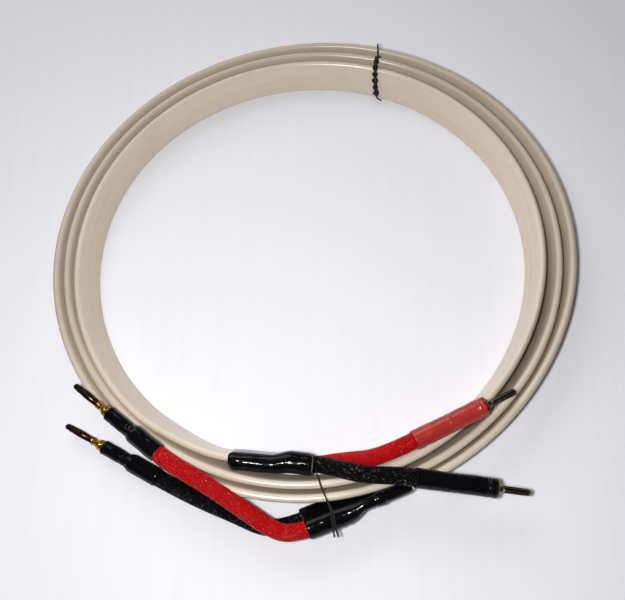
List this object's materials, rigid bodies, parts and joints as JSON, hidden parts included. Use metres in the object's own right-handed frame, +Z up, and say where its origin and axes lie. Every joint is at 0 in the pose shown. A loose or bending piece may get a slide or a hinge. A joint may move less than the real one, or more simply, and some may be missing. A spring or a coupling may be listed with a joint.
{
  "type": "loudspeaker cable",
  "caption": "Flat jacketed cable coiled on its edge, each end splitting in a heat-shrink boot into red and black braided legs with banana plugs.",
  "frame": {"origin": "middle of the footprint, on the floor the coil stands on", "axes": "+Z up along the coil's axis, +Y from the cable's ends across the coil to its far side, +X to the right as seen from the ends"},
  "size_m": [0.3264, 0.3388, 0.0342],
  "materials": {
    "jacket": "satin",
    "red_insulation": "satin",
    "black_insulation": "satin",
    "heat_shrink": "gloss",
    "red_heat_shrink": "satin",
    "red_braid": "woven",
    "black_braid": "woven",
    "gold": "gold plated",
    "cage_metal": "plated",
    "pin_metal": "plated",
    "thread": "matt"
  },
  "bodies": {
    "cable": {"black_core_1": "black_insulation", "black_core_2": "black_insulation", "far_tie": "thread", "flat_jacket": "jacket", "inner_black_braid": "black_braid", "inner_black_lead": "black_insulation", "inner_black_plug_body": "gold", "inner_black_plug_shrink": "heat_shrink", "inner_black_rolled_pin": "pin_metal", "inner_boot": "heat_shrink", "inner_red_braid": "red_braid", "inner_red_lead": "red_insulation", "inner_red_plug_body": "gold", "inner_red_plug_shrink": "red_heat_shrink", "inner_red_rolled_pin": "pin_metal", "near_tie": "thread", "outer_black_braid": "black_braid", "outer_black_lead": "black_insulation", "outer_black_plug_body": "gold", "outer_black_plug_shrink": "heat_shrink", "outer_boot": "heat_shrink", "outer_boot_sleeve": "heat_shrink", "outer_red_braid": "red_braid", "outer_red_lead": "red_insulation", "outer_red_plug_body": "gold", "outer_red_plug_shrink": "heat_shrink", "red_core_1": "red_insulation", "red_core_2": "red_insulation"},
    "outer_black_cage": {"outer_black_spring_cage": "cage_metal"},
    "outer_red_cage": {"outer_red_spring_cage": "cage_metal"}
  },
  "joints": [
    {"name": "outer_black_cage_spin", "type": "hinge", "parent": "cable", "child": "outer_black_cage", "pos_m": [-0.13899, -0.10723, 0.00585], "axis": [-0.8788, 0.4772, 0], "continuous": true},
    {"name": "outer_red_cage_spin", "type": "hinge", "parent": "cable", "child": "outer_red_cage", "pos_m": [-0.13136, -0.08981, 0.02685], "axis": [-0.788, 0.6157, 0], "continuous": true}
  ]
}
